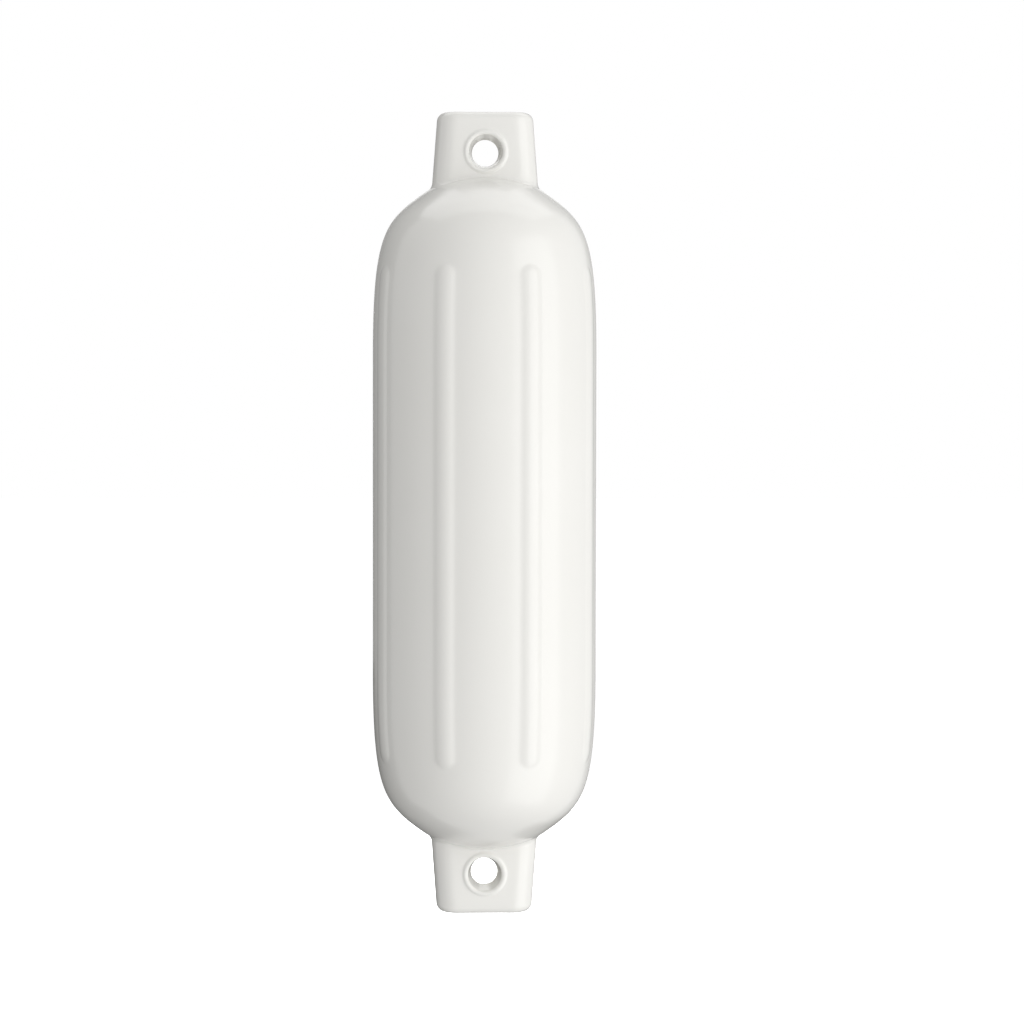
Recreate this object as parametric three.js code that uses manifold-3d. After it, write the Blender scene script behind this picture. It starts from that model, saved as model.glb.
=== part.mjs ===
import * as THREE from "three";
import { mergeVertices } from "three/addons/utils/BufferGeometryUtils.js";
import Module from "manifold-3d";

// An inflatable boat fender with an eye at each end: one hollow moulding of white vinyl,
// modelled as its sealed outer shape, and a small rubber valve plug in its upper shoulder.
// Sizes are in millimetres. +Z is up along the fender's axis and -Y is its front.
// The origin is the middle of the fender, and both ends mirror each other about it.

// Body, a barrel with rounded shoulders and a domed crown at each end
const OVERALL_LENGTH = 500;
const BODY_DIAMETER = 140;
const SHOULDER_LENGTH = 100;
const SHOULDER_EASE = 76;
const CROWN_DIAMETER = 77;
const CROWN_RISE = 10.5;
const CROWN_SLOPE_DEG = 54.5;
const CROWN_EASE = 29;

// Raised ribs that run lengthwise round the body, with rounded ends
const RIB_COUNT = 8;
const RIB_WIDTH = 16.8;
const RIB_HEIGHT = 1.6;
const SIDE_RIB_HEIGHT = 0.8;
const RIB_LENGTH = 310;
const RIB_FOOT_ROUND = 8;

// Eye at each end, a flat block that rises from the crown and narrows to its tip
const EYE_HEIGHT = 39.7;
const EYE_TIP_WIDTH = 59.4;
const EYE_SIDE_DRAFT_DEG = 4.3;
const EYE_THICKNESS = 30;
const EYE_CORNER_ROUND = 13;
const EYE_TIP_ROUND = 5;
const EYE_FRONT_FILLET = 2.2;
const EYE_SIDE_FILLET = 5.5;

// Rope hole through each eye, narrowest at its middle, with a raised round lip at each mouth
const HOLE_FROM_TIP = 25;
const HOLE_WAIST_DIAMETER = 16.6;
const HOLE_MOUTH_ROUND = 1.9;
const LIP_DIAMETER = 24.4;
const LIP_HEIGHT = 1;
const LIP_ROUND = 1.7;

// Valve plug, a headed rubber plug with a needle hole, in a pocket on the back
const VALVE_FROM_CROWN = 20;
const VALVE_HEAD_DIAMETER = 13;
const VALVE_HEAD_THICKNESS = 2.2;
const VALVE_HEAD_CROWN = 0.5;
const VALVE_STEM_DIAMETER = 7;
const VALVE_STEM_LENGTH = 9;
const VALVE_NEEDLE_DIAMETER = 1.4;
const VALVE_NEEDLE_DEPTH = 6;
const VALVE_EDGE_ROUND = 0.6;
const VALVE_CLEARANCE = 0.3;

// How finely the curved surfaces are divided
const RIB_SHARES = [-1, -0.82, -0.55, 0, 0.55, 0.82, 1];
const GAP_COLUMNS = 4;
const SHOULDER_ROWS = 4;
const RIB_END_SHARES = [0.55, 0.82, 1];
const DOME_ROWS = 6;
const CROWN_ROWS = 4;
const FILLET_ROWS = 3;
const TIP_ROWS = 3;
const HOLE_SIDES = 28;
const VALVE_SIDES = 24;
const CUT_OVERRUN = 3;
const BISECTION_STEPS = 40;

const bodyRadius = BODY_DIAMETER / 2;
const halfLength = OVERALL_LENGTH / 2;
const crownTop = halfLength - EYE_HEIGHT;
const crownRim = crownTop - CROWN_RISE;
const crownRadius = CROWN_DIAMETER / 2;
const barrelEnd = crownRim - SHOULDER_LENGTH;
const crownSlope = THREE.MathUtils.degToRad(CROWN_SLOPE_DEG);
const ribHalfWidth = RIB_WIDTH / 2;
const ribEndCentre = RIB_LENGTH / 2 - ribHalfWidth;
const ribPitch = (2 * Math.PI) / RIB_COUNT;
const eyeHalfThickness = EYE_THICKNESS / 2;
const eyeSideDraft = THREE.MathUtils.degToRad(EYE_SIDE_DRAFT_DEG);
const holeHeight = halfLength - HOLE_FROM_TIP;
const lipCrest = eyeHalfThickness + LIP_HEIGHT;

const wasm = await Module();
wasm.setup();

// Outline of the body without its eyes, from the middle of the barrel to the crown's centre.
// x is the distance from the axis and y the height. It is measured by its own length.
function bodyOutline() {
  const at = (radius, height) => new THREE.Vector2(radius, height);
  const along = CROWN_RISE * Math.tan(crownSlope);
  const outline = new THREE.CurvePath();
  outline.add(new THREE.LineCurve(at(bodyRadius, 0), at(bodyRadius, barrelEnd)));
  outline.add(
    new THREE.CubicBezierCurve(
      at(bodyRadius, barrelEnd),
      at(bodyRadius, barrelEnd + SHOULDER_EASE),
      at(
        crownRadius + CROWN_EASE * Math.sin(crownSlope),
        crownRim - CROWN_EASE * Math.cos(crownSlope),
      ),
      at(crownRadius, crownRim),
    ),
  );
  outline.add(
    new THREE.QuadraticBezierCurve(
      at(crownRadius, crownRim),
      at(crownRadius - along, crownTop),
      at(0, crownTop),
    ),
  );
  return outline;
}

const outline = bodyOutline();
const [barrelLength, shoulderLength] = outline.curves.map((c) => c.getLength());
const crownStart = barrelLength + shoulderLength;

// Point of the bare outline at a length along it, and the way the surface faces there.
function outlineAt(length) {
  const share = length / outline.getLength();
  const point = outline.getPoint(share);
  const tangent = outline.getTangent(share);
  return { point, normal: new THREE.Vector2(tangent.y, -tangent.x) };
}

// Height of a rib at a distance from its centre line, for its height at that line: a round
// crown eased into round feet.
function ribHeightAt(distance, crest) {
  const slope = 2 * Math.atan(crest / ribHalfWidth);
  const crownRound = ribHalfWidth / Math.sin(slope) - RIB_FOOT_ROUND;
  if (distance >= ribHalfWidth) return 0;
  if (distance > crownRound * Math.sin(slope)) {
    const inset = ribHalfWidth - distance;
    return RIB_FOOT_ROUND - Math.sqrt(RIB_FOOT_ROUND ** 2 - inset ** 2);
  }
  return crest - crownRound + Math.sqrt(crownRound ** 2 - distance ** 2);
}

// Point of the ribbed body at a length along the outline and an angle round the axis. The
// ribs on its two sides are lower than those in front and behind.
function ribbedPoint(length, angle) {
  const { point, normal } = outlineAt(length);
  const fromRib = ((angle % ribPitch) + ribPitch) % ribPitch - ribPitch / 2;
  const atSide = Math.abs(Math.sin(angle - fromRib)) > Math.SQRT1_2;
  const crest = atSide ? SIDE_RIB_HEIGHT : RIB_HEIGHT;
  const across = Math.abs(fromRib) * point.x;
  const past = Math.max(0, length - ribEndCentre);
  return point.addScaledVector(normal, ribHeightAt(Math.hypot(across, past), crest));
}

// The eye's section at a height is a rounded rectangle. At an angle from the front this gives
// its radius there, and how squarely its wall faces away from the axis.
function eyeSection(angle, height) {
  const sine = Math.abs(Math.sin(angle));
  const cosine = Math.abs(Math.cos(angle));
  const halfWidth = EYE_TIP_WIDTH / 2 + (halfLength - height) * Math.tan(eyeSideDraft);
  const cornerX = halfWidth - EYE_CORNER_ROUND;
  const cornerY = eyeHalfThickness - EYE_CORNER_ROUND;
  if (eyeHalfThickness * sine <= cornerX * cosine) {
    return { radius: eyeHalfThickness / cosine, facing: cosine };
  }
  if (halfWidth * cosine <= cornerY * sine) {
    return { radius: halfWidth / sine, facing: sine };
  }
  const along = cornerX * sine + cornerY * cosine;
  const reach = EYE_CORNER_ROUND ** 2 - cornerX ** 2 - cornerY ** 2 + along ** 2;
  const radius = along + Math.sqrt(reach);
  return { radius, facing: (radius - along) / EYE_CORNER_ROUND };
}

// Clearance of an outline point from the eye's wall, square to the wall.
function clearOfEye(length, angle) {
  const { point } = outlineAt(length);
  const { radius, facing } = eyeSection(angle, point.y);
  return new THREE.Vector2((point.x - radius) * facing, point.y);
}

// A point given by its clearance from the eye's wall, as a radius and a height.
function fromEyeWall(clearance, height, angle) {
  const { radius, facing } = eyeSection(angle, height);
  return new THREE.Vector2(radius + clearance / facing, height);
}

// Radius of the round at an eye's root: tight in front and behind, wider at its sides.
function filletRadius(angle) {
  return THREE.MathUtils.lerp(EYE_FRONT_FILLET, EYE_SIDE_FILLET, Math.sin(angle) ** 2);
}

// The root fillet at an angle: a round that touches both the crown and the eye's wall.
function rootFillet(angle) {
  const STEP = 0.05;
  const radius = filletRadius(angle);
  const touch = (length) => {
    const before = clearOfEye(length - STEP, angle);
    const after = clearOfEye(length + STEP, angle);
    const run = after.clone().sub(before).normalize();
    const away = new THREE.Vector2(run.y, -run.x);
    const foot = before.add(after).multiplyScalar(0.5);
    return { away, centre: foot.addScaledVector(away, radius) };
  };
  let low = barrelLength;
  let high = outline.getLength() - STEP;
  for (let i = 0; i < BISECTION_STEPS; i++) {
    const middle = (low + high) / 2;
    if (touch(middle).centre.x > radius) low = middle;
    else high = middle;
  }
  const { away, centre } = touch(low);
  return { start: low, radius, centre, turn: Math.atan2(-away.y, -away.x) };
}

// Lengths along the outline of the rows that every angle shares, up to near the crown.
function sharedRows() {
  const rows = [0];
  for (let i = 0; i <= SHOULDER_ROWS; i++) {
    rows.push(THREE.MathUtils.lerp(barrelLength, ribEndCentre, i / SHOULDER_ROWS));
  }
  RIB_END_SHARES.forEach((share) => rows.push(ribEndCentre + share * ribHalfWidth));
  const ribEnd = ribEndCentre + ribHalfWidth;
  const last = crownStart - EYE_SIDE_FILLET;
  for (let i = 1; i <= DOME_ROWS; i++) {
    rows.push(THREE.MathUtils.lerp(ribEnd, last, i / DOME_ROWS));
  }
  return rows;
}

// One line of points up the upper half, from the middle of the barrel to the eye's flat tip.
function halfMeridian(angle) {
  const rows = sharedRows();
  const points = rows.map((length) => ribbedPoint(length, angle));
  const last = rows[rows.length - 1];
  const fillet = rootFillet(angle);
  for (let i = 1; i <= CROWN_ROWS; i++) {
    const length = THREE.MathUtils.lerp(last, fillet.start, i / CROWN_ROWS);
    points.push(outlineAt(length).point);
  }
  for (let i = 1; i <= FILLET_ROWS; i++) {
    const turn = THREE.MathUtils.lerp(fillet.turn, -Math.PI, i / FILLET_ROWS);
    const clearance = fillet.radius * (1 + Math.cos(turn));
    const height = fillet.centre.y + fillet.radius * Math.sin(turn);
    points.push(fromEyeWall(clearance, height, angle));
  }
  for (let i = 0; i <= TIP_ROWS; i++) {
    const turn = ((Math.PI / 2) * i) / TIP_ROWS;
    const clearance = EYE_TIP_ROUND * (Math.cos(turn) - 1);
    const height = halfLength + EYE_TIP_ROUND * (Math.sin(turn) - 1);
    points.push(fromEyeWall(clearance, height, angle));
  }
  return points;
}

// Angles from the front, towards +X, at which the lines of points run.
function columnAngles() {
  const angles = [];
  const ribReach = ribHalfWidth / bodyRadius;
  const gapStep = (ribPitch - 2 * ribReach) / GAP_COLUMNS;
  for (let rib = 0; rib < RIB_COUNT; rib++) {
    const centre = (rib + 0.5) * ribPitch;
    RIB_SHARES.forEach((share) => angles.push(centre + share * ribReach));
    for (let i = 1; i < GAP_COLUMNS; i++) {
      angles.push(centre + ribReach + i * gapStep);
    }
  }
  return angles;
}

// The moulding without its holes, closed over from one flat tip to the other.
function mouldingGeometry() {
  const columns = columnAngles().map((angle) => {
    const half = halfMeridian(angle);
    const lower = half.map((p) => new THREE.Vector2(p.x, -p.y)).reverse();
    return { angle, points: [...lower, ...half.slice(1)] };
  });
  const positions = [];
  columns.forEach(({ angle, points }) =>
    points.forEach((p) => positions.push(p.x * Math.sin(angle), -p.x * Math.cos(angle), p.y)),
  );
  const rows = columns[0].points.length;
  const bottom = columns.length * rows;
  const top = bottom + 1;
  positions.push(0, 0, -halfLength, 0, 0, halfLength);
  const index = [];
  columns.forEach((_, i) => {
    const here = i * rows;
    const next = ((i + 1) % columns.length) * rows;
    index.push(bottom, next, here);
    for (let j = 0; j < rows - 1; j++) {
      index.push(here + j, next + j, next + j + 1);
      index.push(here + j, next + j + 1, here + j + 1);
    }
    index.push(top, here + rows - 1, next + rows - 1);
  });
  const geometry = new THREE.BufferGeometry();
  geometry.setAttribute("position", new THREE.Float32BufferAttribute(positions, 3));
  geometry.setIndex(index);
  return geometry;
}

// Points round an arc in a lathe profile, from one angle to another.
function arcPoints(centre, radius, from, to, steps) {
  return Array.from({ length: steps + 1 }, (_, i) => {
    const turn = THREE.MathUtils.lerp(from, to, i / steps);
    return new THREE.Vector2(
      centre.x + radius * Math.cos(turn),
      centre.y + radius * Math.sin(turn),
    );
  });
}

// Profile of one mouth of a rope hole, from the hole's waist to the lip's foot on the eye's
// face. x is the distance from the hole's centre line and y the distance from its middle.
function mouthProfile() {
  const lipRadius = LIP_DIAMETER / 2;
  const waist = new THREE.Vector2(HOLE_WAIST_DIAMETER / 2, 0);
  const mouth = new THREE.Vector2(lipRadius, lipCrest - HOLE_MOUTH_ROUND);
  const reach = mouth.clone().sub(waist);
  const draft = Math.atan2(reach.x, reach.y) - Math.asin(HOLE_MOUTH_ROUND / reach.length());
  const lipTurn = Math.acos(1 - LIP_HEIGHT / (2 * LIP_ROUND));
  const crestCentre = new THREE.Vector2(lipRadius, lipCrest - LIP_ROUND);
  const footCentre = new THREE.Vector2(
    lipRadius + 2 * LIP_ROUND * Math.sin(lipTurn),
    eyeHalfThickness + LIP_ROUND,
  );
  const right = Math.PI / 2;
  return [
    waist,
    ...arcPoints(mouth, HOLE_MOUTH_ROUND, Math.PI - draft, right, 2),
    ...arcPoints(crestCentre, LIP_ROUND, right, right - lipTurn, 1).slice(1),
    ...arcPoints(footCentre, LIP_ROUND, -right - lipTurn, -right, 2).slice(1),
  ];
}

// The ring that lines a rope hole, from the lip on one face to the lip on the other.
function holeLining() {
  const upper = mouthProfile();
  const foot = upper[upper.length - 1];
  const edge = new THREE.Vector2(foot.x + LIP_ROUND, eyeHalfThickness - LIP_ROUND);
  const half = [...upper.slice(1), edge];
  const lower = half.map((p) => new THREE.Vector2(p.x, -p.y)).reverse();
  const loop = [...lower, upper[0], ...half];
  return new THREE.LatheGeometry([...loop, loop[0]].reverse(), HOLE_SIDES);
}

// A geometry as a solid that can be joined and cut.
function solidFrom(geometry) {
  const bare = geometry.clone();
  bare.deleteAttribute("normal");
  bare.deleteAttribute("uv");
  const merged = mergeVertices(bare, 1e-4);
  const kept = [];
  for (let i = 0; i < merged.index.count; i += 3) {
    const [a, b, c] = merged.index.array.slice(i, i + 3);
    if (a !== b && b !== c && c !== a) kept.push(a, b, c);
  }
  const vertProperties = merged.attributes.position.array;
  const triVerts = new Uint32Array(kept);
  return new wasm.Manifold(new wasm.Mesh({ numProp: 3, vertProperties, triVerts }));
}

// A solid as a geometry with crisp facets.
function geometryFrom(solid) {
  const mesh = solid.getMesh();
  const indexed = new THREE.BufferGeometry();
  indexed.setAttribute("position", new THREE.BufferAttribute(mesh.vertProperties, 3));
  indexed.setIndex(new THREE.BufferAttribute(mesh.triVerts, 1));
  const geometry = indexed.toNonIndexed();
  geometry.computeVertexNormals();
  return geometry;
}

// The valve's place on the back, with its local +Y pointing out of the shoulder.
function valvePlace() {
  const { point, normal } = outlineAt(crownStart - VALVE_FROM_CROWN);
  const outward = new THREE.Vector3(0, normal.x, normal.y);
  const up = new THREE.Vector3(0, 1, 0);
  return new THREE.Matrix4().compose(
    new THREE.Vector3(0, point.x, point.y),
    new THREE.Quaternion().setFromUnitVectors(up, outward),
    new THREE.Vector3(1, 1, 1),
  );
}

// Pocket for the valve plug: a wide recess for its head and a blind hole for its stem.
function valvePocket() {
  const at = (radius, height) => new THREE.Vector2(radius, height);
  const stemRadius = VALVE_STEM_DIAMETER / 2 + VALVE_CLEARANCE;
  const headRadius = VALVE_HEAD_DIAMETER / 2 + VALVE_CLEARANCE;
  const seat = -VALVE_HEAD_THICKNESS;
  const floor = seat - VALVE_CLEARANCE - VALVE_STEM_LENGTH;
  const profile = [
    at(0, floor),
    at(stemRadius, floor),
    at(stemRadius, seat),
    at(headRadius, seat),
    at(headRadius, CUT_OVERRUN),
    at(0, CUT_OVERRUN),
  ];
  return new THREE.LatheGeometry(profile, VALVE_SIDES).applyMatrix4(valvePlace());
}

// The valve plug: a stem with a low crowned head, pierced from above for an inflating needle.
function valveGeometry() {
  const at = (radius, height) => new THREE.Vector2(radius, height);
  const stemRadius = VALVE_STEM_DIAMETER / 2;
  const headRadius = VALVE_HEAD_DIAMETER / 2;
  const needleRadius = VALVE_NEEDLE_DIAMETER / 2;
  const under = VALVE_CLEARANCE - VALVE_HEAD_THICKNESS;
  const stemEnd = under - VALVE_STEM_LENGTH;
  const right = Math.PI / 2;
  const profile = [
    at(0, stemEnd),
    at(stemRadius - VALVE_EDGE_ROUND, stemEnd),
    at(stemRadius, stemEnd + VALVE_EDGE_ROUND),
    at(stemRadius, under),
    at(headRadius, under),
    ...arcPoints(at(headRadius - VALVE_EDGE_ROUND, 0), VALVE_EDGE_ROUND, 0, right, 2),
    at(headRadius / 2, VALVE_EDGE_ROUND + VALVE_HEAD_CROWN),
    at(2 * needleRadius, VALVE_EDGE_ROUND + VALVE_HEAD_CROWN),
    at(needleRadius, VALVE_EDGE_ROUND),
    at(needleRadius, -VALVE_NEEDLE_DEPTH),
    at(0, -VALVE_NEEDLE_DEPTH),
  ];
  return new THREE.LatheGeometry(profile, VALVE_SIDES).applyMatrix4(valvePlace());
}

// The finished moulding: both eyes pierced and lipped, and the valve's pocket sunk.
function bodySolid() {
  const plugLength = 2 * (lipCrest + CUT_OVERRUN);
  const plug = new THREE.CylinderGeometry(
    LIP_DIAMETER / 2,
    LIP_DIAMETER / 2,
    plugLength,
    HOLE_SIDES,
  );
  const lining = holeLining();
  let body = solidFrom(mouldingGeometry());
  for (const height of [holeHeight, -holeHeight]) {
    const hole = solidFrom(plug.clone().translate(0, 0, height));
    const ring = solidFrom(lining.clone().translate(0, 0, height));
    body = body.subtract(hole).add(ring);
  }
  return body.subtract(solidFrom(valvePocket()));
}

const whiteVinyl = new THREE.MeshStandardMaterial({
  color: 0xf3f1ea,
  roughness: 0.28,
  metalness: 0,
});
const greyRubber = new THREE.MeshStandardMaterial({
  color: 0x3c3d3f,
  roughness: 0.75,
  metalness: 0,
});

const fenderBody = new THREE.Mesh(geometryFrom(bodySolid()), whiteVinyl);
fenderBody.name = "fender_body";

const valvePlug = new THREE.Mesh(geometryFrom(solidFrom(valveGeometry())), greyRubber);
valvePlug.name = "valve_plug";

const boatFender = new THREE.Group();
boatFender.add(fenderBody, valvePlug);

export default boatFender;
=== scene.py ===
"""Looks of an inflatable boat fender: finely moulded vinyl, a rubber valve and a plain studio."""

import math

import bmesh
import bpy
import numpy as np
from mathutils import Matrix, Quaternion, Vector


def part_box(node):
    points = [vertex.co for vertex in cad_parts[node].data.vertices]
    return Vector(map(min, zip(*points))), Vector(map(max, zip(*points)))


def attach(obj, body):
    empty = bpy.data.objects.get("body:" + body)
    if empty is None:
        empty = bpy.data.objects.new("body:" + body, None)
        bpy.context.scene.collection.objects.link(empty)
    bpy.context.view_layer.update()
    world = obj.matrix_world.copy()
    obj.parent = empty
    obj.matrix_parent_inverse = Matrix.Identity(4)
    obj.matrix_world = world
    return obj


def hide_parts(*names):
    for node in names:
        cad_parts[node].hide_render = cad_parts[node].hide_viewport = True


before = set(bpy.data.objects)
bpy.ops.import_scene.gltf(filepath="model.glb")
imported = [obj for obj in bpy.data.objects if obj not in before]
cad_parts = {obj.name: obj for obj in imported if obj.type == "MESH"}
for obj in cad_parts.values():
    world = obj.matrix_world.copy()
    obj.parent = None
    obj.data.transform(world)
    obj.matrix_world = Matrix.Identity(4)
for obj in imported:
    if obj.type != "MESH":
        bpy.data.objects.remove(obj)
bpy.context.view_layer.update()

# Shapes are worked out in millimetres and made in metres.
MM = 0.001
BODY_LOW, BODY_HIGH = (np.array(corner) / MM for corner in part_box("fender_body"))

# Body, a barrel with rounded shoulders and a domed crown at each end
BODY_RADIUS = (BODY_HIGH[0] - BODY_LOW[0]) / 2
HALF_LENGTH = (BODY_HIGH[2] - BODY_LOW[2]) / 2
SHOULDER_LENGTH = 100
SHOULDER_EASE = 76
CROWN_RADIUS = 38.5
CROWN_RISE = 10.5
CROWN_SLOPE = math.radians(54.5)
CROWN_EASE = 29

# Raised ribs
RIB_COUNT = 8
RIB_HALF_WIDTH = 8.4
RIB_HEIGHT = 1.6
SIDE_RIB_HEIGHT = 0.8
RIB_LENGTH = 310
RIB_FOOT_ROUND = 8

# Eyes and their rope holes
EYE_HEIGHT = 39.7
EYE_TIP_HALF_WIDTH = 29.7
EYE_SIDE_DRAFT = math.radians(4.3)
EYE_HALF_THICKNESS = 15
EYE_CORNER_ROUND = 13
EYE_TIP_ROUND = 5
EYE_FRONT_FILLET = 2.2
EYE_SIDE_FILLET = 5.5
HOLE_FROM_TIP = 25
HOLE_WAIST_RADIUS = 8.3
HOLE_MOUTH_ROUND = 1.9
LIP_RADIUS = 12.2
LIP_HEIGHT = 1
LIP_ROUND = 1.7

# Valve plug and its pocket
VALVE_FROM_CROWN = 20
VALVE_HEAD_RADIUS = 6.5
VALVE_HEAD_THICKNESS = 2.2
VALVE_STEM_RADIUS = 3.5
VALVE_STEM_LENGTH = 9
VALVE_NEEDLE_RADIUS = 0.7
VALVE_NEEDLE_DEPTH = 6
VALVE_CLEARANCE = 0.3
VALVE_EDGE_ROUND = 0.6
VALVE_HEAD_BEVEL = 0.2
VALVE_RING_RADIUS = 3.1
VALVE_RING_ROUND = 0.45
VALVE_FUNNEL_RADIUS = 1.7
VALVE_FUNNEL_DEPTH = 0.8
POCKET_EDGE_ROUND = 0.7
POCKET_PATCH_RADIUS = 10

# Mould seam, a fine raised line round the outline where the two halves of the mould met
SEAM_HEIGHT = 0.14
SEAM_HALF_WIDTH = 0.45
SEAM_ROWS = (-1, -0.5, 0, 0.5, 1)

# How finely the surfaces are divided
RIB_COLUMNS = 24
GAP_COLUMNS = 12
SEAM_COLUMNS_DEG = (0.15, 0.35, 0.8)
BARREL_ROWS = 8
SHOULDER_ROWS = 12
RIB_END_ROWS = 14
DOME_ROWS = 22
CROWN_ROWS = 8
FILLET_ROWS = 8
FLANK_ROWS = 10
TIP_ROWS = 8
ROUND_ROWS = 6
TAPER_ROWS = 8
PATCH_ROWS = 5
HOLE_SIDES = 96
VALVE_SIDES = 64
OUTLINE_SAMPLES = 1500
BISECTION_STEPS = 40
SHARP_ANGLE = math.radians(40)

# Windows, the gaps cut in the main grid for the holes and the pocket. Their edges are looked for
# within their radius times this reach.
WINDOW_MARGIN = 0.5
WINDOW_REACH = 1.6

# The seam's rows across a flat tip stay within this share of the way from its middle to its rim.
SEAM_ROW_LIMIT = 0.8

# Small steps and tolerances
PROBE_STEP = 0.05
FLATNESS = 1e-3
WELD_DISTANCE = 1e-4
ANGLE_DIGITS = 6
TINY = 1e-9

CROWN_TOP = HALF_LENGTH - EYE_HEIGHT
CROWN_RIM = CROWN_TOP - CROWN_RISE
BARREL_END = CROWN_RIM - SHOULDER_LENGTH
RIB_END_CENTRE = RIB_LENGTH / 2 - RIB_HALF_WIDTH
RIB_PITCH = 2 * math.pi / RIB_COUNT
HOLE_HEIGHT = HALF_LENGTH - HOLE_FROM_TIP
LIP_CREST = EYE_HALF_THICKNESS + LIP_HEIGHT
LIP_TURN = math.acos(1 - LIP_HEIGHT / (2 * LIP_ROUND))
LIP_FOOT_RADIUS = LIP_RADIUS + 2 * LIP_ROUND * math.sin(LIP_TURN)


def bezier(points, count):
    """Points along a Bezier curve of any degree."""
    t = np.linspace(0, 1, count)[:, None]
    layer = [np.array(p, float) + 0 * t for p in points]
    while len(layer) > 1:
        layer = [(1 - t) * a + t * b for a, b in zip(layer, layer[1:])]
    return layer[0]


def rows(start, end, count):
    """Evenly spaced values from a start, itself left out, to an end."""
    return np.linspace(start, end, count + 1)[1:]


def closed(ring):
    """A ring of lines with its first line again at its end."""
    return np.concatenate([ring, ring[:1]])


def body_outline():
    """The body's outline without its eyes, from the barrel's middle to the crown's centre.

    Gives lengths along it, points (radius, height), outward normals and where its parts end.
    """
    along = CROWN_RISE * math.tan(CROWN_SLOPE)
    barrel = bezier([(BODY_RADIUS, 0), (BODY_RADIUS, BARREL_END)], OUTLINE_SAMPLES)
    shoulder = bezier(
        [
            (BODY_RADIUS, BARREL_END),
            (BODY_RADIUS, BARREL_END + SHOULDER_EASE),
            (
                CROWN_RADIUS + CROWN_EASE * math.sin(CROWN_SLOPE),
                CROWN_RIM - CROWN_EASE * math.cos(CROWN_SLOPE),
            ),
            (CROWN_RADIUS, CROWN_RIM),
        ],
        OUTLINE_SAMPLES,
    )
    crown = bezier(
        [(CROWN_RADIUS, CROWN_RIM), (CROWN_RADIUS - along, CROWN_TOP), (0, CROWN_TOP)],
        OUTLINE_SAMPLES,
    )
    points = np.concatenate([barrel, shoulder[1:], crown[1:]])
    steps = np.linalg.norm(np.diff(points, axis=0), axis=1)
    lengths = np.concatenate([[0], np.cumsum(steps)])
    run = np.gradient(points, lengths, axis=0)
    run /= np.linalg.norm(run, axis=1)[:, None]
    normals = np.stack([run[:, 1], -run[:, 0]], axis=1)
    ends = lengths[[OUTLINE_SAMPLES - 1, 2 * OUTLINE_SAMPLES - 2, -1]]
    return lengths, points, normals, ends


LENGTHS, OUTLINE, NORMALS, (BARREL_LENGTH, CROWN_START, OUTLINE_LENGTH) = body_outline()
VALVE_STATION = CROWN_START - VALVE_FROM_CROWN


def outline_at(length):
    """Radius and height of the bare outline at a length along it."""
    return (
        np.interp(length, LENGTHS, OUTLINE[:, 0]),
        np.interp(length, LENGTHS, OUTLINE[:, 1]),
    )


def normal_at(length):
    """Which way the bare outline faces at a length along it, in radius and height."""
    return (
        np.interp(length, LENGTHS, NORMALS[:, 0]),
        np.interp(length, LENGTHS, NORMALS[:, 1]),
    )


def rib_height(distance, crest):
    """Height of a rib at a distance from its centre line: a round crown eased into round feet."""
    slope = 2 * np.arctan(crest / RIB_HALF_WIDTH)
    crown_round = RIB_HALF_WIDTH / np.sin(slope) - RIB_FOOT_ROUND
    inset = np.clip(RIB_HALF_WIDTH - distance, 0, RIB_FOOT_ROUND)
    foot = RIB_FOOT_ROUND - np.sqrt(RIB_FOOT_ROUND**2 - inset**2)
    reach = np.minimum(distance, crown_round)
    crown = crest - crown_round + np.sqrt(crown_round**2 - reach**2)
    return np.where(distance < crown_round * np.sin(slope), crown, foot)


def ribbed_point(length, angle):
    """Radius and height of the ribbed body at a length along the outline and an angle.

    The ribs on its two sides are lower than those in front and behind.
    """
    radius, height = outline_at(length)
    out, up = normal_at(length)
    from_rib = np.mod(angle, RIB_PITCH) - RIB_PITCH / 2
    at_side = np.abs(np.sin(angle - from_rib)) > math.sqrt(0.5)
    crest = np.where(at_side, SIDE_RIB_HEIGHT, RIB_HEIGHT)
    past = np.maximum(0, length - RIB_END_CENTRE)
    rise = rib_height(np.hypot(np.abs(from_rib) * radius, past), crest)
    return radius + out * rise, height + up * rise


def eye_section(angle, height):
    """Radius of an eye's rounded section, and how squarely its wall faces away from the axis."""
    sine, cosine = np.abs(np.sin(angle)), np.abs(np.cos(angle))
    half_width = EYE_TIP_HALF_WIDTH + (HALF_LENGTH - height) * math.tan(EYE_SIDE_DRAFT)
    corner_x = half_width - EYE_CORNER_ROUND
    corner_y = EYE_HALF_THICKNESS - EYE_CORNER_ROUND
    along = corner_x * sine + corner_y * cosine
    reach = EYE_CORNER_ROUND**2 - corner_x**2 - corner_y**2 + along**2
    round_radius = along + np.sqrt(np.maximum(reach, 0))
    on_face = EYE_HALF_THICKNESS * sine <= corner_x * cosine
    on_side = half_width * cosine <= corner_y * sine
    radius = np.where(on_side, half_width / np.maximum(sine, TINY), round_radius)
    radius = np.where(on_face, EYE_HALF_THICKNESS / np.maximum(cosine, TINY), radius)
    facing = np.where(on_side, sine, (round_radius - along) / EYE_CORNER_ROUND)
    facing = np.where(on_face, cosine, facing)
    return radius, facing


def from_eye_wall(clearance, height, angle):
    """Radius and height of a point given by its clearance square to the eye's wall."""
    radius, facing = eye_section(angle, height)
    return radius + clearance / facing, height


def fillet_radius(angle):
    """Radius of the round at an eye's root: tight in front and behind, wider at its sides."""
    return EYE_FRONT_FILLET + (EYE_SIDE_FILLET - EYE_FRONT_FILLET) * np.sin(angle) ** 2


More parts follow.
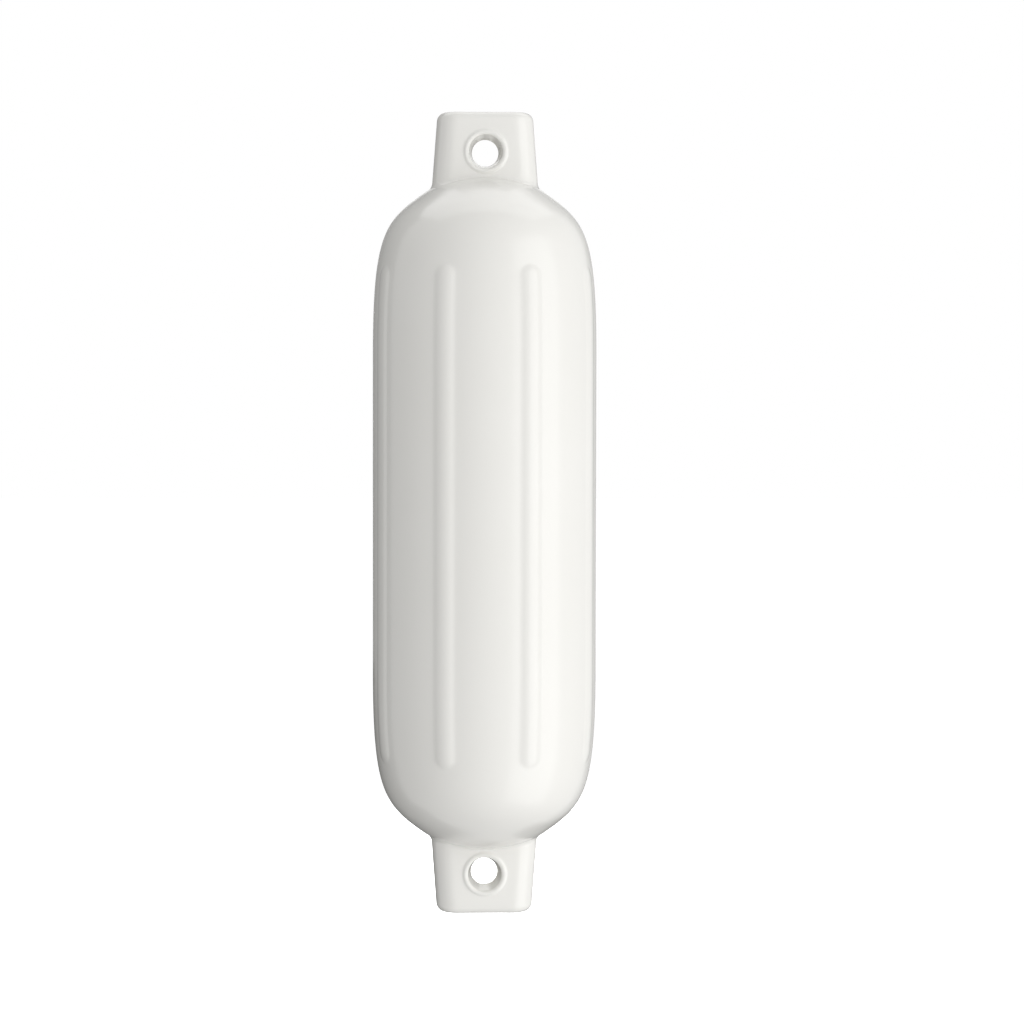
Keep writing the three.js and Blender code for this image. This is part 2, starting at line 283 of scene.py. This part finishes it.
def root_fillet(angle):
    """The round between crown and eye at each angle: its start, centre height and first turn."""
    fillet = fillet_radius(angle)

    def clear_of_eye(length):
        radius, height = outline_at(length)
        wall, facing = eye_section(angle, height)
        return (radius - wall) * facing, height

    def touch(length):
        before, after = clear_of_eye(length - PROBE_STEP), clear_of_eye(length + PROBE_STEP)
        run_x, run_y = after[0] - before[0], after[1] - before[1]
        size = np.hypot(run_x, run_y)
        away_x, away_y = run_y / size, -run_x / size
        centre_x = (before[0] + after[0]) / 2 + fillet * away_x
        centre_y = (before[1] + after[1]) / 2 + fillet * away_y
        return centre_x, centre_y, np.arctan2(-away_y, -away_x)

    low = np.full_like(angle, BARREL_LENGTH)
    high = np.full_like(angle, OUTLINE_LENGTH - PROBE_STEP)
    for _ in range(BISECTION_STEPS):
        middle = (low + high) / 2
        outside = touch(middle)[0] > fillet
        low, high = np.where(outside, middle, low), np.where(outside, high, middle)
    _, centre_height, turn = touch(low)
    return low, centre_height, turn


def column_angles():
    """Angles from the front at which the lines of points run, close together by the mould seam."""
    reach = RIB_HALF_WIDTH / BODY_RADIUS
    rib = np.linspace(-reach, reach, RIB_COLUMNS + 1)
    gap = np.linspace(reach, RIB_PITCH - reach, GAP_COLUMNS + 1)[1:-1]
    centres = (np.arange(RIB_COUNT) + 0.5) * RIB_PITCH
    angles = [centre + part for centre in centres for part in (rib, gap)]
    beside = np.radians(SEAM_COLUMNS_DEG)
    for side in (math.pi / 2, 3 * math.pi / 2):
        angles += [side + beside, side - beside]
    return np.sort(np.mod(np.concatenate(angles), 2 * math.pi))


def half_meridians(angles):
    """Lines of points from the barrel's middle up to the eye's tip, as radii and heights."""
    rib_end = RIB_END_CENTRE + RIB_HALF_WIDTH
    last = CROWN_START - EYE_SIDE_FILLET
    lengths = np.concatenate(
        [
            np.linspace(0, BARREL_LENGTH, BARREL_ROWS + 1),
            rows(BARREL_LENGTH, RIB_END_CENTRE, SHOULDER_ROWS),
            rows(RIB_END_CENTRE, rib_end, RIB_END_ROWS),
            rows(rib_end, last, DOME_ROWS),
        ]
    )
    angle = angles[:, None]
    start, centre, turn = root_fillet(angle)
    top = HALF_LENGTH - EYE_TIP_ROUND
    fillet_turn = turn + (-math.pi - turn) * rows(0, 1, FILLET_ROWS)
    flank = centre + (top - centre) * rows(0, 1, FLANK_ROWS)
    tip_turn = rows(0, math.pi / 2, TIP_ROWS) + 0 * angle
    parts = [
        ribbed_point(lengths + 0 * angle, angle),
        outline_at(last + (start - last) * rows(0, 1, CROWN_ROWS)),
        from_eye_wall(
            fillet_radius(angle) * (1 + np.cos(fillet_turn)),
            centre + fillet_radius(angle) * np.sin(fillet_turn),
            angle,
        ),
        from_eye_wall(0, flank, angle),
        from_eye_wall(
            EYE_TIP_ROUND * (np.cos(tip_turn) - 1),
            top + EYE_TIP_ROUND * np.sin(tip_turn),
            angle,
        ),
    ]
    radii = np.concatenate([part[0] for part in parts], axis=1)
    heights = np.concatenate([part[1] + 0 * part[0] for part in parts], axis=1)
    return radii, heights


def place(radius, height, angle):
    """Points in the fender's frame from radii, heights and angles from the front."""
    return np.stack([radius * np.sin(angle), -radius * np.cos(angle), height], axis=-1)


class Shell:
    """Vertices and faces gathered part by part, in millimetres."""

    def __init__(self):
        self.points = []
        self.faces = []

    def add(self, points):
        """Adds vertices and returns their numbers in the same layout."""
        first = len(self.points)
        self.points.extend(points.reshape(-1, 3))
        return np.arange(first, len(self.points)).reshape(points.shape[:-1])

    def skin(self, numbers, keep=None):
        """Joins a grid of vertex numbers with four-sided faces, all or those that keep allows."""
        corners = [numbers[:-1, :-1], numbers[1:, :-1], numbers[1:, 1:], numbers[:-1, 1:]]
        quads = np.stack(corners, axis=-1)
        self.faces.extend((quads if keep is None else quads[keep]).reshape(-1, 4).tolist())


def outside_windows(grid):
    """Which faces of the main grid stay: those clear of the holes' lips and the valve's pocket."""
    hole_window = LIP_FOOT_RADIUS + WINDOW_MARGIN
    inside = np.zeros(grid.shape[:2], bool)
    for height in (HOLE_HEIGHT, -HOLE_HEIGHT):
        from_hole = np.hypot(grid[..., 0], grid[..., 2] - height)
        on_face = np.abs(np.abs(grid[..., 1]) - EYE_HALF_THICKNESS) < FLATNESS
        inside |= (from_hole < hole_window) & on_face
    centre, _ = valve_place()
    inside |= np.linalg.norm(grid - centre, axis=-1) < POCKET_PATCH_RADIUS + WINDOW_MARGIN
    return ~(inside[:-1, :-1] | inside[1:, :-1] | inside[1:, 1:] | inside[:-1, 1:])


def arc(centre, radius, start, end, steps):
    """Points round an arc, from one angle to another."""
    turn = np.linspace(start, end, steps + 1)
    return np.stack([centre[0] + radius * np.cos(turn), centre[1] + radius * np.sin(turn)], axis=1)


def mouth_profile():
    """Half of a rope hole's profile, from its lip's foot to its waist, as radii and depths."""
    mouth = np.array([LIP_RADIUS, LIP_CREST - HOLE_MOUTH_ROUND])
    reach = mouth - (HOLE_WAIST_RADIUS, 0)
    draft = math.atan2(reach[0], reach[1]) - math.asin(HOLE_MOUTH_ROUND / np.hypot(*reach))
    right = math.pi / 2
    foot = (LIP_FOOT_RADIUS, EYE_HALF_THICKNESS + LIP_ROUND)
    crest = (LIP_RADIUS, LIP_CREST - LIP_ROUND)
    foot_arc = arc(foot, LIP_ROUND, -right, -right - LIP_TURN, ROUND_ROWS)
    crest_arc = arc(crest, LIP_ROUND, right - LIP_TURN, right, ROUND_ROWS)[1:]
    mouth_arc = arc(mouth, HOLE_MOUTH_ROUND, right, math.pi - draft, ROUND_ROWS)[1:]
    taper = rows(mouth_arc[-1], (HOLE_WAIST_RADIUS, 0), TAPER_ROWS)
    return np.concatenate([foot_arc, crest_arc, mouth_arc, taper])


def hole_lining(height):
    """The wall of a rope hole with the lips at both mouths, as a grid round its centre line."""
    half = mouth_profile()
    back = half[:-1][::-1] * (1, -1)
    profile = np.concatenate([half, back])
    turn = np.linspace(0, 2 * math.pi, HOLE_SIDES, endpoint=False)[:, None]
    return np.stack(
        [
            profile[:, 0] * np.sin(turn),
            -profile[:, 1] + 0 * turn,
            height + profile[:, 0] * np.cos(turn),
        ],
        axis=-1,
    )


def valve_place():
    """The valve's place on the surface of the back, and the way it points."""
    radius, height = outline_at(VALVE_STATION)
    out, up = normal_at(VALVE_STATION)
    return np.array([0, radius, height]), np.array([0, out, up])


def pocket_patch():
    """The shoulder round the valve and the pocket sunk in it, as a grid of rings."""
    rim = VALVE_HEAD_RADIUS + VALVE_CLEARANCE
    stem = VALVE_STEM_RADIUS + VALVE_CLEARANCE
    turn = rows(0, math.pi / 2, ROUND_ROWS)
    surround = np.linspace(POCKET_PATCH_RADIUS, rim + POCKET_EDGE_ROUND, PATCH_ROWS)
    edge = rim + POCKET_EDGE_ROUND * (1 - np.sin(turn))
    edge_depth = POCKET_EDGE_ROUND * (1 - np.cos(turn))
    floor = VALVE_HEAD_THICKNESS
    inner = np.array([rim, stem, stem])
    inner_depth = np.array([floor, floor, floor + VALVE_STEM_LENGTH + VALVE_CLEARANCE])
    reach = np.concatenate([surround, edge, inner])
    depth = np.concatenate([0 * surround, edge_depth, inner_depth])
    around = np.linspace(0, 2 * math.pi, VALVE_SIDES, endpoint=False)[:, None]
    length = VALVE_STATION + reach * np.cos(around)
    angle = math.pi + reach * np.sin(around) / outline_at(length)[0]
    surface = place(*outline_at(length), angle)
    return surface - depth[:, None] * valve_place()[1]


def close_cap(shell, rim, angles, seam_rows):
    """Closes a flat tip with rungs from front to back, with rows of their own by the seam."""
    index = {round(angle, ANGLE_DIGITS): i for i, angle in enumerate(angles)}
    front = [i for i, a in enumerate(angles) if math.cos(a) > TINY]
    front.sort(key=lambda i: math.sin(angles[i]))
    rungs = []
    for i in front:
        half_turn = math.pi if angles[i] <= math.pi else 3 * math.pi
        mirror = index[round(half_turn - angles[i], ANGLE_DIGITS)]
        a, b = np.array(shell.points[rim[i]]), np.array(shell.points[rim[mirror]])
        shares = np.clip(seam_rows / abs(a[1]), -SEAM_ROW_LIMIT, SEAM_ROW_LIMIT)
        inner = (a + b) / 2 + (b - a) / 2 * shares[:, None]
        rungs.append([rim[i], *shell.add(inner), rim[mirror]])
    shell.skin(np.array(rungs))
    for side, rung in ((3 * math.pi / 2, rungs[0]), (math.pi / 2, rungs[-1])):
        end = rim[index[round(side, ANGLE_DIGITS)]]
        shell.faces.append([end, *rung])


def body_shell():
    """The whole moulding: the main grid, the rope holes, the valve's pocket and the flat tips."""
    shell = Shell()
    angles = column_angles()
    radii, heights = half_meridians(angles)
    radii = np.concatenate([radii[:, :0:-1], radii], axis=1)
    heights = np.concatenate([-heights[:, :0:-1], heights], axis=1)
    grid = place(radii, heights, angles[:, None])
    numbers = shell.add(grid)
    shell.skin(closed(numbers), outside_windows(closed(grid)))
    seam_rows = np.array(SEAM_ROWS) * SEAM_HALF_WIDTH
    close_cap(shell, numbers[:, -1], angles, seam_rows)
    close_cap(shell, numbers[:, 0], angles, seam_rows)
    for height in (HOLE_HEIGHT, -HOLE_HEIGHT):
        shell.skin(closed(shell.add(hole_lining(height))))
    patch = shell.add(pocket_patch())
    shell.skin(closed(patch))
    shell.faces.append(patch[:, -1].tolist())
    return shell


def window_fills(bm):
    """Fills the rings left between the main grid and the rims of the holes and the pocket."""
    centre, outward = valve_place()
    windows = [(centre, outward, POCKET_PATCH_RADIUS)]
    for height in (HOLE_HEIGHT, -HOLE_HEIGHT):
        for side in (-1, 1):
            middle = np.array([0, side * EYE_HALF_THICKNESS, height])
            windows.append((middle, np.array([0, side, 0]), LIP_FOOT_RADIUS))
    for middle, normal, radius in windows:
        reach = radius * WINDOW_REACH
        edges = [
            e
            for e in bm.edges
            if e.is_boundary
            and all(np.linalg.norm(np.array(v.co) - middle) < reach for v in e.verts)
        ]
        bmesh.ops.triangle_fill(
            bm, use_beauty=True, use_dissolve=False, edges=edges, normal=Vector(normal)
        )


def raise_seam(bm):
    """Sinks the surface by the seam's height, except on the seam, which so stands at full size."""
    bm.normal_update()
    for v in bm.verts:
        ridge = max(0.0, 1 - (v.co.y / SEAM_HALF_WIDTH) ** 2) ** 2
        v.co += v.normal * (SEAM_HEIGHT * (ridge - 1))


def mesh_object(name, bm):
    """A smooth-shaded object from a mesh in millimetres."""
    bm.transform(Matrix.Scale(MM, 4))
    bmesh.ops.recalc_face_normals(bm, faces=bm.faces)
    mesh = bpy.data.meshes.new(name)
    bm.to_mesh(mesh)
    bm.free()
    mesh.polygons.foreach_set("use_smooth", [True] * len(mesh.polygons))
    mesh.set_sharp_from_angle(angle=SHARP_ANGLE)
    obj = bpy.data.objects.new(name, mesh)
    bpy.context.scene.collection.objects.link(obj)
    return obj


def bm_from(shell):
    """A bmesh from a shell's vertices and faces."""
    mesh = bpy.data.meshes.new("draft")
    mesh.from_pydata([tuple(p) for p in shell.points], [], shell.faces)
    bm = bmesh.new()
    bm.from_mesh(mesh)
    bpy.data.meshes.remove(mesh)
    return bm


def make_body():
    """The fender's moulding."""
    bm = bm_from(body_shell())
    window_fills(bm)
    bmesh.ops.recalc_face_normals(bm, faces=bm.faces)
    raise_seam(bm)
    return mesh_object("fender_moulding", bm)


def make_valve():
    """The rubber valve plug: a stem, a head with a raised ring, a needle hole in a funnel."""
    under = VALVE_CLEARANCE - VALVE_HEAD_THICKNESS
    stem_end = under - VALVE_STEM_LENGTH
    right = math.pi / 2
    stem_corner = (VALVE_STEM_RADIUS - VALVE_EDGE_ROUND, stem_end + VALVE_EDGE_ROUND)
    head_corner = (VALVE_HEAD_RADIUS - VALVE_EDGE_ROUND, 0)
    top = VALVE_EDGE_ROUND
    profile = np.concatenate(
        [
            [(0, stem_end)],
            arc(stem_corner, VALVE_EDGE_ROUND, -right, 0, ROUND_ROWS),
            [
                (VALVE_STEM_RADIUS, under),
                (VALVE_HEAD_RADIUS - VALVE_HEAD_BEVEL, under),
                (VALVE_HEAD_RADIUS, under + VALVE_HEAD_BEVEL),
            ],
            arc(head_corner, VALVE_EDGE_ROUND, 0, right, ROUND_ROWS),
            arc((VALVE_RING_RADIUS, top), VALVE_RING_ROUND, 0, math.pi, 2 * ROUND_ROWS),
            [
                (VALVE_FUNNEL_RADIUS, top),
                (VALVE_NEEDLE_RADIUS, top - VALVE_FUNNEL_DEPTH),
                (VALVE_NEEDLE_RADIUS, -VALVE_NEEDLE_DEPTH),
                (0, -VALVE_NEEDLE_DEPTH),
            ],
        ]
    )
    turn = np.linspace(0, 2 * math.pi, VALVE_SIDES, endpoint=False)[:, None]
    centre, outward = valve_place()
    side = np.array([1.0, 0, 0])
    across = np.cross(outward, side)
    radius = profile[:, 0, None]
    points = (
        centre
        + profile[:, 1, None] * outward
        + radius * np.cos(turn)[..., None] * side
        + radius * np.sin(turn)[..., None] * across
    )
    shell = Shell()
    shell.skin(closed(shell.add(points)))
    bm = bm_from(shell)
    bmesh.ops.remove_doubles(bm, verts=bm.verts, dist=WELD_DISTANCE)
    return mesh_object("valve_rubber", bm)


# Finishes. A texture is its noise's scale, in waves for each metre, and detail. A layer of
# relief is a texture, the bump's strength and its depth in metres. Most values of a noise lie in
# its range.
NOISE_RANGE = (0.3, 0.7)
VINYL_TINT = (0.9, 0.892, 0.857, 1)
VINYL_SHADE = (0.888, 0.879, 0.842, 1)
VINYL_CLOUD = (14, 3)
VINYL_GLOSS = (60, 4)
VINYL_ROUGHNESS = (0.16, 0.21)
VINYL_IOR = 1.5
VINYL_RELIEF = {
    "waves": ((30, 1), 0.3, 0.0003),
    "peel": ((420, 2), 0.3, 0.00002),
    "grain": ((2200, 2), 0.3, 0.000008),
}
RUBBER_TINT = (0.055, 0.056, 0.058, 1)
RUBBER_DUST = (0.075, 0.075, 0.076, 1)
RUBBER_CLOUD = (400, 4)
RUBBER_GLOSS = (900, 3)
RUBBER_ROUGHNESS = (0.55, 0.75)
RUBBER_RELIEF = ((1500, 4), 0.4, 0.0001)


class Nodes:
    """A short way to add and link the nodes of a material or world."""

    def __init__(self, tree):
        self.tree = tree
        tree.nodes.clear()

    def add(self, kind, inputs=None, **settings):
        """Adds a node with its settings, and with its inputs set or linked."""
        node = self.tree.nodes.new(kind)
        for name, value in settings.items():
            setattr(node, name, value)
        for name, value in (inputs or {}).items():
            socket = node.inputs[name]
            if isinstance(value, bpy.types.NodeSocket):
                self.tree.links.new(value, socket)
            else:
                socket.default_value = value
        return node


def noise(nodes, coordinates, scale, detail):
    """A noise texture's values."""
    inputs = {"Vector": coordinates, "Scale": scale, "Detail": detail}
    return nodes.add("ShaderNodeTexNoise", inputs).outputs["Fac"]


def spread(nodes, value, low, high):
    """Maps a noise's values to a range."""
    start, end = NOISE_RANGE
    inputs = {"Value": value, "From Min": start, "From Max": end, "To Min": low, "To Max": high}
    return nodes.add("ShaderNodeMapRange", inputs).outputs["Result"]


def two_tone(nodes, share, first, second):
    """A colour that goes from one tone to another with a texture's values."""
    inputs = {"Factor": share, "A": first, "B": second}
    return nodes.add("ShaderNodeMix", inputs, data_type="RGBA").outputs["Result"]


def relief(nodes, height, strength, depth, under=None):
    """Bump from a texture's values, on top of an earlier bump if there is one."""
    inputs = {"Height": height, "Strength": strength, "Distance": depth}
    if under is not None:
        inputs["Normal"] = under
    return nodes.add("ShaderNodeBump", inputs).outputs["Normal"]


def new_material(name, shader_of, *details):
    """A material whose surface is the shader that a function makes from its nodes."""
    material = bpy.data.materials.new(name)
    material.use_nodes = True
    nodes = Nodes(material.node_tree)
    nodes.add("ShaderNodeOutputMaterial", {"Surface": shader_of(nodes, *details)})
    return material


def vinyl_shader(nodes):
    """Warm white moulded vinyl: a soft gloss, faint clouds, fine texture and slight waviness."""
    place_on = nodes.add("ShaderNodeTexCoord").outputs["Object"]
    cloud = spread(nodes, noise(nodes, place_on, *VINYL_CLOUD), 0, 1)
    surface = None
    for texture, strength, depth in VINYL_RELIEF.values():
        surface = relief(nodes, noise(nodes, place_on, *texture), strength, depth, surface)
    inputs = {
        "Base Color": two_tone(nodes, cloud, VINYL_SHADE, VINYL_TINT),
        "Roughness": spread(nodes, noise(nodes, place_on, *VINYL_GLOSS), *VINYL_ROUGHNESS),
        "IOR": VINYL_IOR,
        "Normal": surface,
    }
    return nodes.add("ShaderNodeBsdfPrincipled", inputs).outputs["BSDF"]


def rubber_shader(nodes):
    """Dull dark grey rubber with a fine grain."""
    place_on = nodes.add("ShaderNodeTexCoord").outputs["Object"]
    dust = spread(nodes, noise(nodes, place_on, *RUBBER_CLOUD), 0, 1)
    texture, strength, depth = RUBBER_RELIEF
    inputs = {
        "Base Color": two_tone(nodes, dust, RUBBER_TINT, RUBBER_DUST),
        "Roughness": spread(nodes, noise(nodes, place_on, *RUBBER_GLOSS), *RUBBER_ROUGHNESS),
        "Normal": relief(nodes, noise(nodes, place_on, *texture), strength, depth),
    }
    return nodes.add("ShaderNodeBsdfPrincipled", inputs).outputs["BSDF"]


def direction(azimuth, elevation):
    """A unit vector from the fender, by degrees round from the front towards +X and degrees up."""
    a, e = math.radians(azimuth), math.radians(elevation)
    return Vector((math.sin(a) * math.cos(e), -math.cos(a) * math.cos(e), math.sin(e)))


# Camera, at the photograph's angle and distance
CAMERA_AZIMUTH = -2.3
CAMERA_ELEVATION = 2.0
CAMERA_DISTANCE = 1.9
CAMERA_SIDESTEP = 0.0172
CAMERA_LENS = 106.55
CAMERA_LIFT = 0.001
CAMERA_ROLL = math.radians(0.1)
CAMERA_SENSOR = 36


def make_camera():
    """A camera a little to the fender's left, which shows the fender left of the middle."""
    data = bpy.data.cameras.new("camera")
    data.lens = CAMERA_LENS
    data.sensor_width = CAMERA_SENSOR
    back = direction(CAMERA_AZIMUTH, CAMERA_ELEVATION)
    right = direction(CAMERA_AZIMUTH + 90, 0)
    lift = Vector((0, 0, CAMERA_LIFT))
    camera = bpy.data.objects.new("camera", data)
    camera.location = back * CAMERA_DISTANCE + right * CAMERA_SIDESTEP + lift
    camera.rotation_mode = "QUATERNION"
    aim = (-back).to_track_quat("-Z", "Y")
    camera.rotation_quaternion = aim @ Quaternion((0, 0, 1), CAMERA_ROLL)
    bpy.context.scene.collection.objects.link(camera)
    bpy.context.scene.camera = camera


# Studio: a white surround, a pale floor, soft lamps, and cards that only glosses show. Azimuths
# and elevations are in degrees, and distances and sizes in metres.
WHITE = (1, 1, 1, 1)
AMBIENT_LEVEL = 0.376
AMBIENT_TILT = (0, -0.376, 0)
LAMPS = {
    "key": {
        "azimuth": 52.7,
        "elevation": -7,
        "distance": 0.9,
        "size": (0.862, 1.95),
        "radiance": 1.21,
    },
    "top": {
        "azimuth": 180,
        "elevation": 77,
        "distance": 1.5,
        "size": (2.2, 1.1),
        "radiance": 0.96,
    },
    "back": {
        "azimuth": 180,
        "elevation": 12,
        "distance": 2.0,
        "size": (1.3, 1.0),
        "radiance": 7.5,
    },
}
LAMPS_OUT_OF_GLOSS = ("back",)
FLOOR_HEIGHT = -0.45
FLOOR_SIZE = 30
FLOOR_TINT = (0.8, 0.8, 0.8, 1)
FLOOR_GLOW = 0.75
CARDS = {
    "left_card": {
        "azimuth": -140.5,
        "elevation": 0,
        "distance": 1.0,
        "size": (1.11, 2.4),
        "glow": 0.2,
    },
    "right_card": {
        "azimuth": 153,
        "elevation": 0,
        "distance": 1.2,
        "size": (0.6, 2.4),
        "glow": 0.4,
    },
    "low_card": {
        "azimuth": -161,
        "elevation": -40,
        "distance": 0.9,
        "size": (1.25, 1.04),
        "glow": 0.02,
    },
}


def facing_place(placing):
    """Where a lamp or card stands so that it faces the fender."""
    away = direction(placing["azimuth"], placing["elevation"])
    turn = away.to_track_quat("Z", "Y").to_matrix().to_4x4()
    return Matrix.Translation(away * placing["distance"]) @ turn


def make_lamps():
    """Soft rectangular lamps that face the fender. Some don't show in its gloss."""
    for name, lamp in LAMPS.items():
        data = bpy.data.lights.new(name, "AREA")
        data.shape = "RECTANGLE"
        data.size, data.size_y = lamp["size"]
        data.energy = lamp["radiance"] * math.pi * data.size * data.size_y
        obj = bpy.data.objects.new(name, data)
        obj.matrix_world = facing_place(lamp)
        obj.visible_glossy = name not in LAMPS_OUT_OF_GLOSS
        bpy.context.scene.collection.objects.link(obj)


def make_world():
    """A surround that looks white, and lights the fender mostly from the front."""
    world = bpy.data.worlds.new("studio")
    world.use_nodes = True
    bpy.context.scene.world = world
    nodes = Nodes(world.node_tree)
    path = nodes.add("ShaderNodeLightPath")
    camera_or_gloss = nodes.add(
        "ShaderNodeMath",
        {0: path.outputs["Is Camera Ray"], 1: path.outputs["Is Glossy Ray"]},
        operation="MAXIMUM",
    )
    seen = nodes.add(
        "ShaderNodeMath",
        {0: camera_or_gloss.outputs[0], 1: path.outputs["Is Transmission Ray"]},
        operation="MAXIMUM",
    )
    way = nodes.add("ShaderNodeTexCoord").outputs["Generated"]
    tilt = nodes.add("ShaderNodeVectorMath", {0: way, 1: AMBIENT_TILT}, operation="DOT_PRODUCT")
    level = nodes.add(
        "ShaderNodeMath", {0: tilt.outputs["Value"], 1: AMBIENT_LEVEL}, operation="ADD"
    )
    strength = nodes.add(
        "ShaderNodeMapRange",
        {"Value": seen.outputs[0], "To Min": level.outputs[0], "To Max": 1.0},
    )
    light = nodes.add(
        "ShaderNodeBackground",
        {"Color": WHITE, "Strength": strength.outputs["Result"]},
    )
    nodes.add("ShaderNodeOutputWorld", {"Surface": light.outputs["Background"]})


def stage_plane(name, size, placing, material):
    """A flat piece of the studio, which neither lights the fender nor shades it."""
    x, y = (side / 2 for side in size)
    mesh = bpy.data.meshes.new(name)
    mesh.from_pydata([(-x, -y, 0), (x, -y, 0), (x, y, 0), (-x, y, 0)], [], [(0, 1, 2, 3)])
    mesh.materials.append(material)
    plane = bpy.data.objects.new(name, mesh)
    plane.matrix_world = placing
    plane.visible_diffuse = False
    plane.visible_shadow = False
    bpy.context.scene.collection.objects.link(plane)
    return plane


def glow_shader(nodes, strength):
    """An even white glow."""
    inputs = {"Color": WHITE, "Strength": strength}
    return nodes.add("ShaderNodeEmission", inputs).outputs["Emission"]


def floor_shader(nodes):
    """A pale matt ground that glows as white as the surround, and is clear from below."""
    matt = nodes.add("ShaderNodeBsdfDiffuse", {"Color": FLOOR_TINT}).outputs["BSDF"]
    both = {0: matt, 1: glow_shader(nodes, FLOOR_GLOW)}
    ground = nodes.add("ShaderNodeAddShader", both).outputs["Shader"]
    below = nodes.add("ShaderNodeNewGeometry").outputs["Backfacing"]
    clear = nodes.add("ShaderNodeBsdfTransparent").outputs["BSDF"]
    sides = {0: below, 1: ground, 2: clear}
    return nodes.add("ShaderNodeMixShader", sides).outputs["Shader"]


def make_floor():
    """A plain floor below the hanging fender, so bright that its shadow doesn't show."""
    ground = Matrix.Translation((0, 0, FLOOR_HEIGHT))
    material = new_material("floor", floor_shader)
    floor = stage_plane("floor", (FLOOR_SIZE, FLOOR_SIZE), ground, material)
    floor.visible_glossy = False


def make_cards():
    """Dim cards that only glosses show: they draw the edges of a white object on white."""
    for name, card in CARDS.items():
        material = new_material(name, glow_shader, card["glow"])
        panel = stage_plane(name, card["size"], facing_place(card), material)
        panel.visible_camera = False


def dress():
    """The fender's pieces, their finishes and what they stand for."""
    body = make_body()
    body.data.materials.append(new_material("white_vinyl", vinyl_shader))
    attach(body, "root")
    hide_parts("fender_body")
    valve = make_valve()
    valve.data.materials.append(new_material("grey_rubber", rubber_shader))
    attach(valve, "root")
    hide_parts("valve_plug")


dress()
make_camera()
make_lamps()
make_world()
make_floor()
make_cards()
bpy.context.scene.view_settings.view_transform = "Standard"
